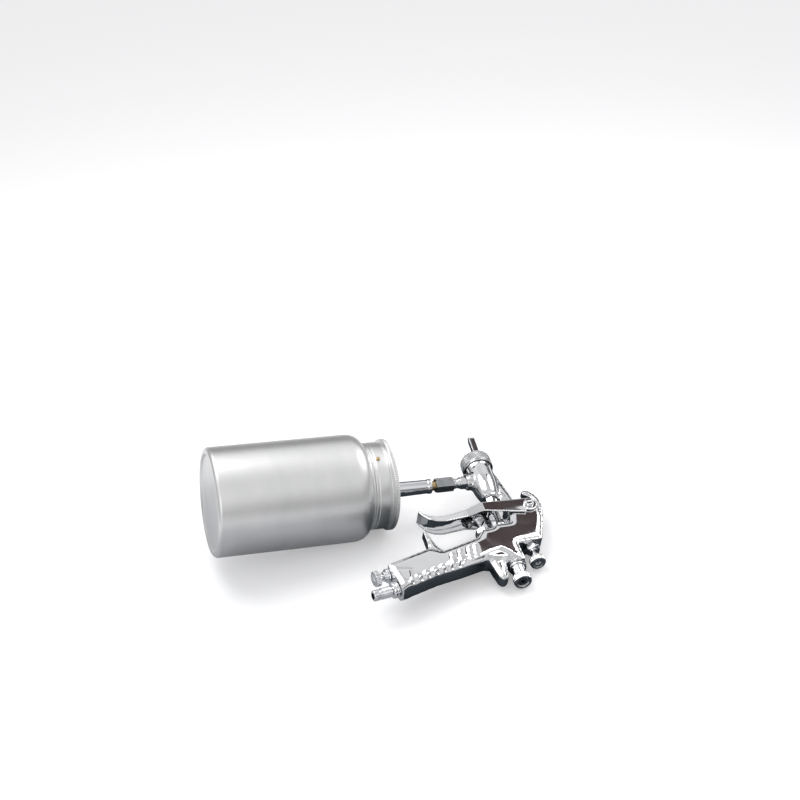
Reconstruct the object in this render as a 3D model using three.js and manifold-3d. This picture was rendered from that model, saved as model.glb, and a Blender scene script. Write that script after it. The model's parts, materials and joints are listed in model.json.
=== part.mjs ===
// Siphon-feed air spray gun with its one-litre aluminium cup. Millimetres, +Z up.
//
// Everything is first laid out in the gun's own frame: X runs along the cup's axis from
// the cup's base towards the gun, Y runs forwards to the air cap, and Z comes out of the
// gun's left side. The last group turns that frame so that the gun lies on its side.
import * as THREE from 'three';
import { mergeVertices } from 'three/addons/utils/BufferGeometryUtils.js';
import Module from 'manifold-3d';

const wasm = await Module();
wasm.setup();

// ---- driving dimensions -------------------------------------------------------------
const GAP = 0.3;                  // between pieces that touch

const CUP_R = 52;                 // outside radius of the cup
const CUP_WALL = 1.5;
const SHOULDER_X = 134;           // where the cup's straight wall ends
const NECK_X = 149.4;             // where the shoulder meets the neck
const NECK_R = 39.9;
const MOUTH_X = 163.9;
const COLLAR_R = 42.3;            // screw collar of the lid
const FLANGE_R = 44.4;            // its serrated rim
const LID_TOP_X = 173.5;

const LINE_Y = -9.5;              // axis of the fluid line, behind the cup's axis
const TUBE_R = [7.8, 6.8];        // outlet tube, at the lid and at the nut
const TUBE_END_X = 217;

const SPRAY_TILT = 4;             // degrees from Y to the needle's axis
const NEEDLE_X = 272;             // where the needle's axis crosses Y = 0
const NEEDLE_R = 1.25;
const HEAD_R = 13.8;
const RING_R = 15.5;
const SPREADER_UP = 21.6;         // spreader valve's axis, above the needle's
const AIR_VALVE_UP = -20;         // air valve's axis, below the needle's

const SIDE = 11;                  // half thickness of the casting's flat sides
const PIVOT = [298, -62];
const HANDLE_TILT = 16.5;         // degrees from X to the handle's long axis
const FITTING_TILT = 10;          // degrees from X to the fittings at its bottom

// ---- solids -------------------------------------------------------------------------
const ORIGIN = new THREE.Vector3();
const AXIS_Y = new THREE.Vector3(0, 1, 0);

function toSolid(geometry) {
  const bare = geometry.clone();
  bare.deleteAttribute('normal');
  bare.deleteAttribute('uv');
  const merged = mergeVertices(bare, 1e-4);
  return new wasm.Manifold(new wasm.Mesh({
    numProp: 3,
    vertProperties: new Float32Array(merged.attributes.position.array),
    triVerts: new Uint32Array(merged.index.array),
  }));
}

function toGeometry(solid) {
  const mesh = solid.getMesh();
  const geometry = new THREE.BufferGeometry();
  geometry.setAttribute('position', new THREE.BufferAttribute(mesh.vertProperties, 3));
  geometry.setIndex(new THREE.BufferAttribute(mesh.triVerts, 1));
  geometry.computeVertexNormals();
  return geometry;
}

function join(...geometries) {
  return toGeometry(geometries.map(toSolid).reduce((a, b) => a.add(b)));
}

function cut(geometry, ...tools) {
  return toGeometry(tools.map(toSolid).reduce((a, b) => a.subtract(b), toSolid(geometry)));
}

function meet(a, b) {
  return toGeometry(toSolid(a).intersect(toSolid(b)));
}

// Turns a geometry made round +Y so that it starts at a point and runs along a direction.
function along(geometry, start, direction) {
  const turn = new THREE.Quaternion().setFromUnitVectors(AXIS_Y, direction);
  const matrix = new THREE.Matrix4().compose(start, turn, new THREE.Vector3(1, 1, 1));
  return geometry.applyMatrix4(matrix);
}

// A turned piece. Its profile is [radius, distance] pairs, up the outside.
function turned(profile, start, direction, segments = 18) {
  const points = profile.map(([r, t]) => new THREE.Vector2(r, t));
  return along(new THREE.LatheGeometry(points, segments), start, direction);
}

// A turned piece with a hole through it, from its outside and its inside profile.
function sleeve(outside, inside, start, direction, segments = 18) {
  const profile = [...outside, ...inside.slice().reverse(), outside[0]];
  return turned(profile, start, direction, segments);
}

function rod(radius, from, to, start, direction, segments = 16) {
  return turned([[0, from], [radius, from], [radius, to], [0, to]], start, direction, segments);
}

function hexagon(acrossCorners, from, to, start, direction) {
  const bar = new THREE.CylinderGeometry(acrossCorners / 2, acrossCorners / 2, to - from, 6);
  bar.translate(0, (from + to) / 2, 0);
  return along(bar, start, direction);
}

// A knurled bar: a toothed outline drawn out along the axis.
function knurled(radius, depth, teeth, from, to, start, direction) {
  const outline = new THREE.Shape();
  for (let i = 0; i < teeth * 2; i += 1) {
    const angle = (i * Math.PI) / teeth;
    const r = i % 2 ? radius - depth : radius;
    const x = r * Math.cos(angle);
    const y = r * Math.sin(angle);
    if (i) outline.lineTo(x, y);
    else outline.moveTo(x, y);
  }
  const bar = new THREE.ExtrudeGeometry(outline, { depth: to - from, bevelEnabled: false });
  bar.rotateX(-Math.PI / 2).translate(0, from, 0);
  return along(bar, start, direction);
}

// A plate cut to an outline in the XY plane, with its edges rounded off.
function plate(outline, halfThickness, bevel = 0, bevelSegments = 1) {
  const shape = new THREE.Shape(outline.map(([x, y]) => new THREE.Vector2(x, y)));
  const geometry = new THREE.ExtrudeGeometry(shape, {
    depth: 2 * (halfThickness - bevel),
    bevelEnabled: bevel > 0,
    bevelThickness: bevel,
    bevelSize: bevel,
    bevelOffset: -bevel,
    bevelSegments,
    curveSegments: 4,
  });
  return geometry.translate(0, 0, bevel - halfThickness);
}

function block(xs, ys, zs) {
  const box = new THREE.BoxGeometry(xs[1] - xs[0], ys[1] - ys[0], zs[1] - zs[0]);
  return box.translate((xs[0] + xs[1]) / 2, (ys[0] + ys[1]) / 2, (zs[0] + zs[1]) / 2);
}

function coil(radius, wire, turns, from, to, start, direction) {
  class Helix extends THREE.Curve {
    getPoint(t, target = new THREE.Vector3()) {
      const angle = t * turns * 2 * Math.PI;
      return target.set(radius * Math.cos(angle), from + (to - from) * t, radius * Math.sin(angle));
    }
  }
  const section = new THREE.Shape();
  section.absarc(0, 0, wire, 0, 2 * Math.PI);
  const geometry = new THREE.ExtrudeGeometry(section, {
    steps: turns * 8, curveSegments: 4, bevelEnabled: false, extrudePath: new Helix(),
  });
  return along(geometry, start, direction);
}

// ---- axes ---------------------------------------------------------------------------
const rad = THREE.MathUtils.degToRad;
const FORWARD = new THREE.Vector3(Math.sin(rad(SPRAY_TILT)), Math.cos(rad(SPRAY_TILT)), 0);
const UP = new THREE.Vector3(Math.cos(rad(SPRAY_TILT)), -Math.sin(rad(SPRAY_TILT)), 0);
const BACK = FORWARD.clone().negate();
const TO_GUN = new THREE.Vector3(1, 0, 0);
const FITTING_OUT = new THREE.Vector3(-Math.cos(rad(FITTING_TILT)), -Math.sin(rad(FITTING_TILT)), 0);
const HANDLE_UP = new THREE.Vector3(Math.cos(rad(HANDLE_TILT)), Math.sin(rad(HANDLE_TILT)), 0);

// Start points of the three bores that run fore and aft, where each crosses the nozzle's plane.
const needleStart = new THREE.Vector3(NEEDLE_X, 0, 0);
const spreaderStart = needleStart.clone().addScaledVector(UP, SPREADER_UP);
const airValveStart = needleStart.clone().addScaledVector(UP, AIR_VALVE_UP);
const lineStart = new THREE.Vector3(0, LINE_Y, 0);
const inletStart = new THREE.Vector3(144.9, -138.6, 0);
const handleValveStart = new THREE.Vector3(141.5, -120.4, 0);
const pivotStart = new THREE.Vector3(PIVOT[0], PIVOT[1], 0);
const LEFT = new THREE.Vector3(0, 0, 1);

// ---- gun body -----------------------------------------------------------------------
// The saw-tooth grip along the rear edge of the handle's flat side.
function gripTeeth() {
  const points = [];
  const teeth = 7;
  for (let i = 0; i < teeth; i += 1) {
    const x = 156 + i * 8.3;
    const y = -142 + i * 2.5;
    points.push([x, y], [x + 1.4, y + 3.9], [x + 7.6, y + 2.8]);
  }
  return points;
}

function bodySides() {
  return plate([
    [140.6, -115.6], [146, -144.6], ...gripTeeth(), [229, -121.6], [240, -117], [251, -114.5],
    [257, -121], [261, -129], [270, -129.6], [270.6, -108.2], [296, -106.4], [307.8, -78],
    [309.4, -66], [306, -56.4], [299, -53.4], [291.6, -52.5], [277.7, -53], [275.7, -71.3], [272.7, -80.7], [257, -81.1], [253, -85], [242, -86.2],
    [234, -96], [195, -107.8], [190, -104.4], [184, -102],
  ], SIDE, 1.2);
}

// The rounded rear of the handle, which swells out behind its flat sides.
function handleRear() {
  return plate([
    [142.4, -121], [146.6, -146.8], [185, -134.6], [212, -129], [233, -123.4], [238, -112],
    [190, -116],
  ], 9.6, 3.6, 2);
}

function bodyRear() {
  return plate([[232, -123.2], [262, -129], [266, -112], [236, -102]], 9.6, 3, 2);
}

// The rest for the back of the hand.
function handRest() {
  return plate([
    [236, -112], [237.6, -132], [239.4, -144.4], [242, -147.8], [245.6, -148], [248.8, -145],
    [251.4, -133], [254, -112],
  ], 7.6, 3.4, 2);
}

function bodyHook() {
  return plate([
    [299, -74], [303, -64], [308.6, -59.4], [310.8, -53.4], [310.6, -48], [308.6, -43],
    [305.4, -39.6], [302.8, -38.6], [302.2, -34.8], [305.2, -32.8], [310.4, -34.8], [314.4, -40.4],
    [316.6, -48.4], [316.4, -58], [312.4, -70], [306, -84],
  ], 4.8, 1.4);
}

function fingerHorn() {
  return plate([
    [176, -108], [182, -102.4], [186, -97], [187.6, -88], [187.9, -73.6], [190.9, -73.2],
    [192.6, -84], [195.4, -95.6], [200, -103], [206, -108], [192, -114],
  ], 6, 0.9);
}

// The thin web that carries the head.
function headWeb() {
  return plate([[277.7, -58], [277.7, -6], [286, -6], [292.4, -58]], 4.6, 1.2);
}

function gunBody() {
  const barrel = turned([
    [0, -38], [7.4, -38], [9.4, -35.6], [11.2, -29], [12.5, -22], [HEAD_R - 0.6, -14],
    [HEAD_R - 0.6, 4.4], [HEAD_R, 5.2], [HEAD_R, 11.5], [0, 11.5],
  ], needleStart, FORWARD, 24);
  const inletBoss = rod(8.6, 252.8, 268, lineStart, TO_GUN);
  const rearBoss = turned([[0, 108], [9.2, 112], [9.2, 129.2], [8.4, 130], [0, 130]], needleStart, BACK);
  const spreaderBoss = rod(8.2, 92, 105.8, spreaderStart, BACK);
  const valveBoss = rod(8.8, 87.6, 100, airValveStart, BACK);
  const packingBoss = rod(7.4, 22, 38, needleStart, BACK);
  const lug = rod(7.6, -SIDE, SIDE, pivotStart, LEFT);
  const outer = join(
    bodySides(), handleRear(), bodyRear(), handRest(), bodyHook(), fingerHorn(), headWeb(), barrel,
    inletBoss, rearBoss, spreaderBoss, valveBoss, packingBoss, lug,
  );
  const bores = [
    turned([[0, -41], [4.3, -41], [4.3, -31.2], [2, -31.2], [2, -24], [4.2, -24], [4.2, -6.3],
      [6, -6.3], [6, 3], [11, 3], [11, 12.5], [0, 12.5]], needleStart, FORWARD, 24),
    turned([[0, 76], [7.4, 76], [7.4, 81.3], [5.4, 81.3], [5.4, 88.4], [3.6, 88.4], [3.6, 90.4], [6.6, 90.4],
      [6.6, 130], [10.4, 130], [10.4, 140], [0, 140]], needleStart, BACK),
    turned([[0, 80], [2.6, 80], [2.6, 94.6], [5.4, 94.6],
      [5.4, 105.8], [8.6, 105.8], [8.6, 116], [0, 116]], spreaderStart, BACK),
    turned([[0, 76], [8.9, 76], [8.9, 87.6], [6.4, 87.6], [6.4, 99.9], [5.6, 99.9], [5.6, 112.6], [0, 112.6]],
      airValveStart, BACK),
    turned([[0, 251], [6, 251], [6, 262.6], [3.6, 262.6], [3.6, 271], [0, 271]], lineStart, TO_GUN),
    turned([[0, -12], [4, -12], [4, -10.3], [6, -10.3], [6, 1], [0, 1]], inletStart, FITTING_OUT),
    rod(4, 6, 104, inletStart, HANDLE_UP),
    turned([[0, -14], [2.4, -14], [2.4, -8.3], [3.8, -8.3], [3.8, 1], [0, 1]],
      handleValveStart, FITTING_OUT),
    rod(2.8, -SIDE - 1, SIDE + 1, pivotStart, LEFT),
  ];
  return cut(outer, ...bores);
}

// ---- head ---------------------------------------------------------------------------
function fluidNozzle() {
  return sleeve(
    [[5.7, -6], [5.7, 3.3], [8, 3.3], [8, 6], [5.4, 7], [5.4, 12], [2.3, 19], [2.3, 22.4]],
    [[2.6, -6], [2.6, 14], [1.1, 20.4], [1.1, 22.4]], needleStart, FORWARD);
}

function baffleRing() {
  return sleeve([[10.7, 3.3], [10.7, 8]], [[8.4, 3.3], [8.4, 8]], needleStart, FORWARD);
}

function airCap() {
  const cap = sleeve(
    [[13.5, 11.8], [13.5, 16.6], [11.2, 16.6], [11.2, 20.6], [9.6, 22.4]],
    [[10.4, 11.8], [10.4, 15], [8.4, 19.6], [2.9, 19.9], [2.9, 22.4]], needleStart, FORWARD, 24);
  const horn = (side) => {
    const outline = [[7.6, 21], [12.8, 21], [14.2, 40], [13, 42.6], [10.6, 42.6], [8.2, 38]];
    const shape = new THREE.Shape(outline.map(([z, b]) => new THREE.Vector2(side * z, b)));
    const bar = new THREE.ExtrudeGeometry(shape, { depth: 6.4, bevelEnabled: false });
    bar.translate(0, 0, -3.2).rotateY(Math.PI / 2);
    return along(bar, needleStart, FORWARD);
  };
  return join(cap, horn(1), horn(-1));
}

function retainingRing() {
  return sleeve(
    [[15, 5.6], [15, 7], [RING_R, 7.6], [RING_R, 18.6], [14.6, 20]],
    [[14.2, 5.6], [14.2, 17], [11.6, 17], [11.6, 20]], needleStart, FORWARD, 24);
}

function needle() {
  return turned([
    [0, -22.8], [0.5, -20.4], [NEEDLE_R, -14], [NEEDLE_R, 128], [0, 128],
  ], needleStart, BACK, 14);
}

function needlePacking() {
  return sleeve([[4, 31.5], [4, 34.6]], [[1.6, 31.5], [1.6, 34.6]], needleStart, BACK, 14);
}

function packingNut() {
  const bore = rod(1.6, 34, 50, needleStart, BACK, 14);
  const body = join(rod(4, 34.9, 39, needleStart, BACK), hexagon(11.6, 38.3, 45.4, needleStart, BACK));
  return cut(body, bore);
}

// ---- trigger ------------------------------------------------------------------------
const TRIGGER_FRONT = [
  [273, -53.6], [262, -53], [251, -53.2], [242, -55], [233, -57.6], [222, -60.4], [213, -61.8],
  [204.4, -61.4], [198.4, -58.8], [194.4, -54.8], [191.6, -50],
];
const TRIGGER_BACK = [
  [190, -50.6], [192.4, -56.6], [197, -63.4], [204, -67.6], [213, -69], [233, -66.2],
  [249, -64.4], [272.6, -68.6], [292, -72.4],
];

function triggerSide() {
  const lobe = [];
  for (let i = 0; i <= 8; i += 1) {
    const angle = rad(-125 + i * 28.75);
    lobe.push([PIVOT[0] + 8.4 * Math.cos(angle), PIVOT[1] + 8.4 * Math.sin(angle)]);
  }
  return plate([...TRIGGER_BACK, ...lobe, ...TRIGGER_FRONT], 13.3);
}

// Half widths of the trigger along its length, seen from the front.
function triggerPlan(inset) {
  const half = [[186, 5], [192, 7.6], [200, 9], [236, 9], [252, 13.2], [320, 13.2]]
    .map(([x, w]) => [x, w - inset]);
  const outline = [...half, ...half.slice().reverse().map(([x, w]) => [x, -w])];
  const shape = new THREE.Shape(outline.map(([x, z]) => new THREE.Vector2(x, z)));
  const bar = new THREE.ExtrudeGeometry(shape, { depth: 60, bevelEnabled: false });
  return bar.rotateX(-Math.PI / 2).rotateX(Math.PI).translate(0, -30, 0);
}

function trigger() {
  const wall = 1.6;
  const channel = plate([
    [189, -80], [312, -80], [312, -40], [273.6, -40], [273, -53.6 - wall], [262, -53 - wall],
    [251, -53.2 - wall], [242, -55 - wall], [233, -57.6 - wall], [222, -60.4 - wall],
    [213, -61.8 - wall], [204.4, -61.4 - wall], [197.8, -58.8 - wall], [193, -55.6],
    [190.4, -51.2], [186, -50],
  ], 14);
  const hollow = meet(channel, triggerPlan(1.5));
  const needleSlot = block([266, 280], [-60, -48], [-2.1, 2.1]);
  const pivotHole = rod(2.8, -16, 16, pivotStart, LEFT);
  return cut(meet(triggerSide(), triggerPlan(0)), hollow, needleSlot, pivotHole);
}

function pivotScrew() {
  const screw = turned([
    [0, -15.6], [2.5, -15.6], [2.5, 13.5], [4.8, 13.5], [4.8, 15.4], [4, 16.2], [0, 16.2],
  ], pivotStart, LEFT);
  const slot = block([PIVOT[0] - 6, PIVOT[0] + 6], [PIVOT[1] - 0.5, PIVOT[1] + 0.5], [15.4, 17]);
  return cut(screw, slot);
}

function pivotNut() {
  return sleeve([[4.8, -15.8], [4.8, -13.5]], [[2.8, -15.8], [2.8, -13.5]], pivotStart, LEFT);
}

// ---- air valve ----------------------------------------------------------------------
function airValveBody() {
  const body = join(
    hexagon(15.4, 81, 87.3, airValveStart, BACK), rod(6.1, 87, 97.6, airValveStart, BACK));
  return cut(body, rod(2.1, 80, 99, airValveStart, BACK));
}

function airValveStem() {
  return turned([
    [0, 57.7], [1.2, 57.8], [2.2, 58.2], [3.1, 59.2], [4, 61.4], [6.2, 64], [6.4, 68], [3, 70.6], [1.75, 72],
    [1.75, 103], [0, 103],
  ], airValveStart, BACK);
}

function airValveSeat() {
  return sleeve([[6.1, 97.9], [6.1, 99.6]], [[2.1, 97.9], [2.1, 99.6]], airValveStart, BACK);
}

function airValvePoppet() {
  return sleeve([[4.6, 100.3], [5, 101.3], [5, 103.4]], [[2.05, 100.3], [2.05, 103.4]],
    airValveStart, BACK);
}

function airValveSpring() {
  return coil(3.6, 0.45, 3, 104.2, 111.8, airValveStart, BACK);
}

// ---- needle adjustment --------------------------------------------------------------
function needleGuide() {
  const outside = [[6.2, 74.6], [6.2, 81], [5.1, 81], [5.1, 88]];
  return sleeve(outside, [[3.4, 74.6], [3.4, 88]], needleStart, BACK);
}

function needleCollet() {
  const outside = [[3, 56.9], [3, 91], [5.6, 91], [5.6, 94.6]];
  return sleeve(outside, [[1.55, 56.9], [1.55, 94.6]], needleStart, BACK, 16);
}

function needleSpring() {
  return coil(3.9, 0.6, 5, 95.6, 122.6, needleStart, BACK);
}

function needleHousing() {
  return sleeve(
    [[6.2, 116], [6.2, 130.3], [8.4, 130.3], [8.4, 133], [6.6, 133.4], [6.6, 141.6]],
    [[5.3, 116], [5.3, 141.6]], needleStart, BACK);
}

function fluidAdjuster() {
  return sleeve([[5, 123.4], [5, 149]], [[1.7, 123.4], [1.7, 149]], needleStart, BACK, 16);
}

function fluidKnob() {
  const outer = knurled(8.4, 0.6, 18, 142, 150.4, needleStart, BACK);
  return cut(outer, turned([[0, 141], [5.3, 141], [5.3, 149.4], [6.6, 151], [0, 151]],
    needleStart, BACK));
}

// ---- spreader valve -----------------------------------------------------------------
function spreaderGland() {
  const body = join(
    rod(5.1, 97, 107, spreaderStart, BACK), hexagon(14, 106.1, 113.4, spreaderStart, BACK));
  return cut(body, rod(2.3, 96, 115, spreaderStart, BACK, 14));
}

function spreaderSeal() {
  return sleeve([[5, 95], [5, 96.7]], [[2.3, 95], [2.3, 96.7]], spreaderStart, BACK, 14);
}

function spreaderStem() {
  return turned([[0, 82], [2, 86], [2, 126], [0, 126]], spreaderStart, BACK, 14);
}

function spreaderKnob() {
  const wheel = knurled(7.6, 0.6, 14, 121.6, 128, spreaderStart, BACK);
  const body = join(rod(4.2, 117.4, 122.4, spreaderStart, BACK), wheel);
  return cut(body, rod(2.3, 116, 126.3, spreaderStart, BACK, 14));
}

// ---- bottom of the handle -----------------------------------------------------------
function handleValveGland() {
  const outside = [[3.5, -6.4], [3.5, 0.3], [6.4, 0.3], [6.4, 3.4], [4.6, 3.8], [4.6, 5.6]];
  return sleeve(outside, [[2.2, -6.4], [2.2, 5.6]], handleValveStart, FITTING_OUT);
}

function handleValveSeal() {
  return sleeve([[3.5, -8], [3.5, -6.7]], [[2.2, -8], [2.2, -6.7]], handleValveStart, FITTING_OUT, 14);
}

function handleValveStem() {
  return turned([[0, -13], [1.9, -11], [1.9, 13], [0, 13]], handleValveStart, FITTING_OUT, 14);
}

function handleValveKnob() {
  const wheel = knurled(7.4, 0.6, 14, 9.6, 15, handleValveStart, FITTING_OUT);
  const body = join(rod(4, 7.4, 10, handleValveStart, FITTING_OUT), wheel);
  return cut(body, rod(2.3, 7, 13.3, handleValveStart, FITTING_OUT, 14));
}

function inletCollar() {
  const outside = [[5.7, -10], [5.7, 0.3], [7.2, 0.3], [7.2, 5.6], [6.4, 6.4]];
  return sleeve(outside, [[3.2, -10], [3.2, 6.4]], inletStart, FITTING_OUT);
}

function airInlet() {
  const outside = [[4, 6.7], [4, 8.4], [5.2, 9], [5.2, 17], [4.4, 17.6], [4.4, 19], [5, 19.6],
    [5, 24.4], [4.4, 25]];
  return sleeve(outside, [[3, 6.7], [3, 25]], inletStart, FITTING_OUT);
}

// ---- fluid line ---------------------------------------------------------------------
function fluidInlet() {
  const body = join(
    rod(5.7, 252, 262.3, lineStart, TO_GUN), hexagon(13.2, 247, 252.4, lineStart, TO_GUN),
    rod(4.8, 240.2, 247.4, lineStart, TO_GUN), rod(3.4, 228.6, 241, lineStart, TO_GUN));
  return cut(body, rod(2.2, 227, 264, lineStart, TO_GUN, 16));
}

function swivelNut() {
  const nut = hexagon(15, 221.6, 239.8, lineStart, TO_GUN);
  return cut(nut, turned([[0, 220], [5.4, 220], [5.4, 228.4], [3.7, 229.4], [3.7, 241], [0, 241]],
    lineStart, TO_GUN));
}

function ferrule() {
  return sleeve([[4.6, 217.3], [4.6, 228.2]], [[3.4, 217.3], [3.4, 228.2]], lineStart, TO_GUN);
}

function outletTube() {
  return sleeve([[TUBE_R[0], LID_TOP_X + GAP], [TUBE_R[1], TUBE_END_X - 3.4],
    [TUBE_R[1] + 0.5, TUBE_END_X - 3], [TUBE_R[1] + 0.5, TUBE_END_X]],
  [[3.6, LID_TOP_X + GAP], [3.6, TUBE_END_X]], lineStart, TO_GUN, 20);
}

// ---- cup ----------------------------------------------------------------------------
function cup() {
  const w = CUP_WALL;
  return turned([
    [0, 2], [44.6, 2], [46.4, 0], [49.4, 0], [51.4, 1.2], [CUP_R, 3.6], [CUP_R, SHOULDER_X],
    [51.2, 139], [48.9, 144], [45.8, 147.6], [42.6, NECK_X], [42.6, 151.4], [NECK_R, 151.6],
    [NECK_R, MOUTH_X], [NECK_R - 1.7, MOUTH_X], [NECK_R - 1.7, 149.6], [44, 147], [47.4, 143],
    [49.8, 138.4], [CUP_R - w, SHOULDER_X], [CUP_R - w, 5.4], [48.8, 3.6], [0, 3.6],
  ], ORIGIN, TO_GUN, 40);
}

function lid() {
  const disc = turned([
    [0, MOUTH_X + 2.1], [40.3, MOUTH_X + 2.1], [40.3, 170.4], [33.6, 170.4], [33.6, LID_TOP_X],
    [0, LID_TOP_X],
  ], ORIGIN, TO_GUN, 40);
  return cut(disc, rod(3.6, 160, 180, lineStart, TO_GUN));
}

function lidGasket() {
  const [from, to] = [MOUTH_X + GAP, MOUTH_X + 1.8];
  return sleeve([[40, from], [40, to]], [[36.5, from], [36.5, to]], ORIGIN, TO_GUN, 40);
}

function lidCollar() {
  return sleeve(
    [[COLLAR_R - 0.5, 152], [COLLAR_R, 152.6], [COLLAR_R, 167], [41.4, 167.6], [41.4, 168.6],
      [FLANGE_R, 169.4], [FLANGE_R, 174.4]],
    [[40.7, 152], [40.7, 170.8], [34, 170.8], [34, 174.4]], ORIGIN, TO_GUN, 40);
}

function ventPlug() {
  const outwards = new THREE.Vector3(0, -Math.sin(rad(12)), Math.cos(rad(12)));
  return rod(1.9, COLLAR_R + GAP, COLLAR_R + 1.5, new THREE.Vector3(158.5, 0, 0), outwards, 12);
}

function pickupTube() {
  return sleeve([[5, 9], [5, MOUTH_X + 1.8]], [[3.6, 9], [3.6, MOUTH_X + 1.8]], lineStart, TO_GUN);
}

function strainer() {
  return turned([[0, 6], [6.6, 6], [6.6, 20], [5.3, 20], [5.3, 8], [0, 8]], lineStart, TO_GUN);
}

// ---- assembly -----------------------------------------------------------------------
const CHROME = ['#dfe1e4', 0.08, 1];
const STEEL = ['#b9bcc0', 0.25, 1];
const BRASS = ['#c9a457', 0.3, 1];
const SATIN = ['#c4c6c8', 0.38, 1];
const ZINC = ['#6e7276', 0.45, 0.9];
const RUBBER = ['#1c1c1d', 0.85, 0];

const lying = new THREE.Group();

function piece(name, geometry, [color, roughness, metalness]) {
  const material = new THREE.MeshStandardMaterial({ color, roughness, metalness });
  const mesh = new THREE.Mesh(geometry, material);
  mesh.name = name;
  lying.add(mesh);
}

piece('gun_body', gunBody(), CHROME);
piece('fluid_nozzle', fluidNozzle(), STEEL);
piece('baffle_ring', baffleRing(), BRASS);
piece('air_cap', airCap(), CHROME);
piece('retaining_ring', retainingRing(), STEEL);
piece('needle', needle(), STEEL);
piece('needle_packing', needlePacking(), RUBBER);
piece('packing_nut', packingNut(), CHROME);
piece('trigger', trigger(), CHROME);
piece('pivot_screw', pivotScrew(), CHROME);
piece('pivot_nut', pivotNut(), CHROME);
piece('air_valve_body', airValveBody(), CHROME);
piece('air_valve_stem', airValveStem(), STEEL);
piece('air_valve_seat', airValveSeat(), RUBBER);
piece('air_valve_poppet', airValvePoppet(), BRASS);
piece('air_valve_spring', airValveSpring(), STEEL);
piece('needle_guide', needleGuide(), CHROME);
piece('needle_collet', needleCollet(), STEEL);
piece('needle_spring', needleSpring(), STEEL);
piece('needle_housing', needleHousing(), CHROME);
piece('fluid_adjuster', fluidAdjuster(), STEEL);
piece('fluid_knob', fluidKnob(), CHROME);
piece('spreader_gland', spreaderGland(), CHROME);
piece('spreader_seal', spreaderSeal(), RUBBER);
piece('spreader_stem', spreaderStem(), STEEL);
piece('spreader_knob', spreaderKnob(), CHROME);
piece('handle_valve_gland', handleValveGland(), CHROME);
piece('handle_valve_seal', handleValveSeal(), RUBBER);
piece('handle_valve_stem', handleValveStem(), STEEL);
piece('handle_valve_knob', handleValveKnob(), CHROME);
piece('inlet_collar', inletCollar(), CHROME);
piece('air_inlet', airInlet(), CHROME);
piece('fluid_inlet', fluidInlet(), CHROME);
piece('swivel_nut', swivelNut(), ZINC);
piece('ferrule', ferrule(), BRASS);
piece('outlet_tube', outletTube(), CHROME);
piece('lid', lid(), SATIN);
piece('lid_collar', lidCollar(), SATIN);
piece('lid_gasket', lidGasket(), RUBBER);
piece('vent_plug', ventPlug(), BRASS);
piece('pickup_tube', pickupTube(), STEEL);
piece('strainer', strainer(), BRASS);
piece('cup', cup(), SATIN);

// The gun lies on its right side: the cup's shoulder, the pivot nut and the rear corner of
// the casting touch the surface. This is the direction, in the gun's own frame, that then points up.
const LYING_UP = new THREE.Vector3(-0.1546, 0.1542, 0.9759).normalize();
lying.quaternion.setFromUnitVectors(LYING_UP, new THREE.Vector3(0, 0, 1));

const group = new THREE.Group();
group.add(lying);
const box = new THREE.Box3().setFromObject(group, true);
lying.position.set(-(box.min.x + box.max.x) / 2, -(box.min.y + box.max.y) / 2, -box.min.z);

export default group;
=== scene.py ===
import json
import math

import bpy
import numpy as np
from mathutils import Matrix
from mathutils.kdtree import KDTree


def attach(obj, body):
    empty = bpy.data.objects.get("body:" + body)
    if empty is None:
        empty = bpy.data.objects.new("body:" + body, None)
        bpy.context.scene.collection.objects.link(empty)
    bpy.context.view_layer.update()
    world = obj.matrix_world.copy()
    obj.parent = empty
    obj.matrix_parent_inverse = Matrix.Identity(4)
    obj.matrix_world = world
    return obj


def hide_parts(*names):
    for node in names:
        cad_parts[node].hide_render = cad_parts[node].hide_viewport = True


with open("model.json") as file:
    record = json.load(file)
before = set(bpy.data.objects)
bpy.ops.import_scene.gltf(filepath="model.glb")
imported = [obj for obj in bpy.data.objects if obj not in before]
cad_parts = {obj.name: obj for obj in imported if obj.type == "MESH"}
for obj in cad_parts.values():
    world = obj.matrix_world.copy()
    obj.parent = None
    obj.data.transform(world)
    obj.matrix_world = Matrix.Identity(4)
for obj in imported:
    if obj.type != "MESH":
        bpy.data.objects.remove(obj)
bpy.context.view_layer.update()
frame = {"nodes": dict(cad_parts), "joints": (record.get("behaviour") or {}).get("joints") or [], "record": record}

# ------------------------------------------------------------------ gun's own axes
# The gun is set out from the cup: ALONG runs from the cup's base to the gun, FORE is
# the way it sprays and LEFT comes out of its left side. Lengths here are millimetres
# from the centre of the cup's base, and to_row turns them into the row's metres.
travel = {joint["name"]: joint for joint in frame["joints"]}
ALONG = -np.array(travel["cup_removal"]["axis"])
LEFT = np.array(travel["trigger_pull"]["axis"])
FORE = np.cross(LEFT, ALONG)
base = next(m for m in frame["record"]["mounts"] if m["name"] == "cup_base")
CUP_BASE = np.array(base["pos_m"]) - 0.0479 * LEFT
GUN_AXES = np.array([ALONG, FORE, LEFT])


def to_row(points):
    """Gun millimetres, as rows of (along, fore, left), in the row frame's metres."""
    return np.asarray(points, float) / 1000 @ GUN_AXES + CUP_BASE


def to_gun(points):
    """The row frame's metres in gun millimetres: the inverse of to_row."""
    return (np.asarray(points, float) - CUP_BASE) @ GUN_AXES.T * 1000


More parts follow.
